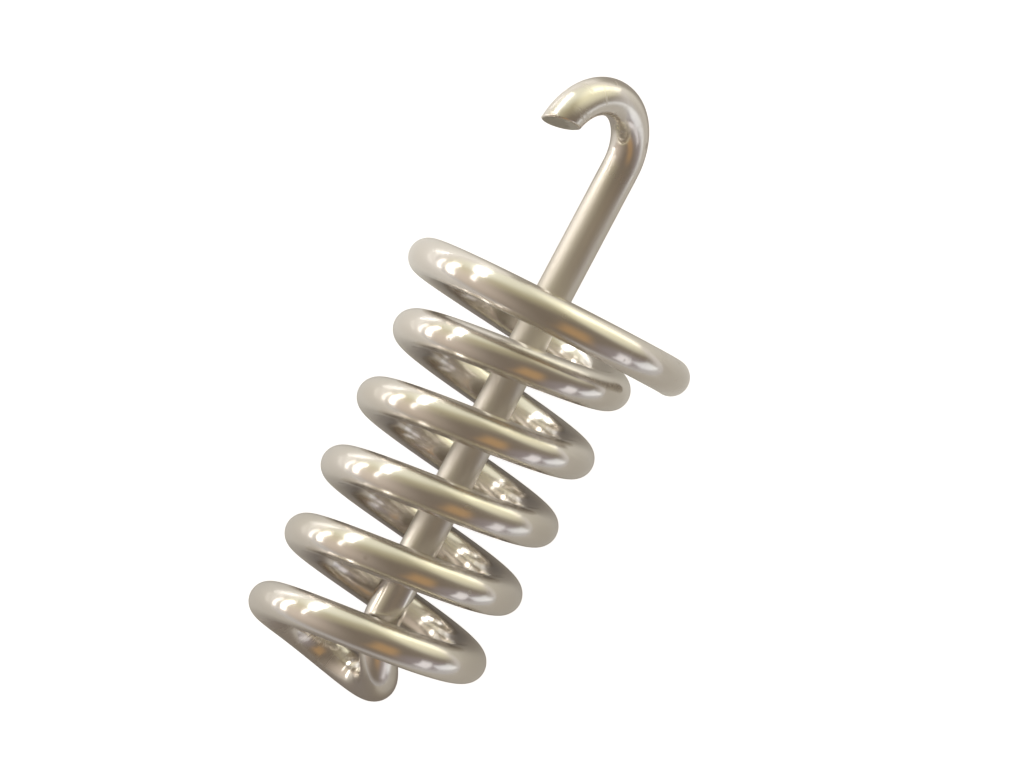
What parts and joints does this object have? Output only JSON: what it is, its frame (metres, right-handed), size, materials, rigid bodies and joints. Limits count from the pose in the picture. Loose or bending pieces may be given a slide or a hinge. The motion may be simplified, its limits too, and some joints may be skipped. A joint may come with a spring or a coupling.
{
  "type": "hooked compression spring",
  "caption": "Open wire coil with a wide end turn, a centre stem rising from its far end and a J hook; the spring element of a hand grip strengthener.",
  "frame": {"origin": "where the coil's axis meets the plane that the wide end turn bears on", "axes": "+Z along the coil's axis towards the hook, +X towards the cut end of the wide turn, +Y away from the viewer of the front"},
  "size_m": [0.0242, 0.0223, 0.0521],
  "materials": {
    "spring_wire": "bright drawn steel wire, smooth and polished, with a slightly warm nickel tone"
  },
  "bodies": {
    "seat_body": {"seat_turn": "spring_wire", "coil": "spring_wire"},
    "hook_body": {"bottom_bend": "spring_wire", "stem": "spring_wire", "hook": "spring_wire"}
  },
  "joints": [
    {"name": "hook_pull", "type": "slide", "parent": "seat_body", "child": "hook_body", "axis": [0, 0, 1], "range_m": [0, 0.01], "stiffness_N_per_m": 35000, "deforming": ["coil"]}
  ]
}
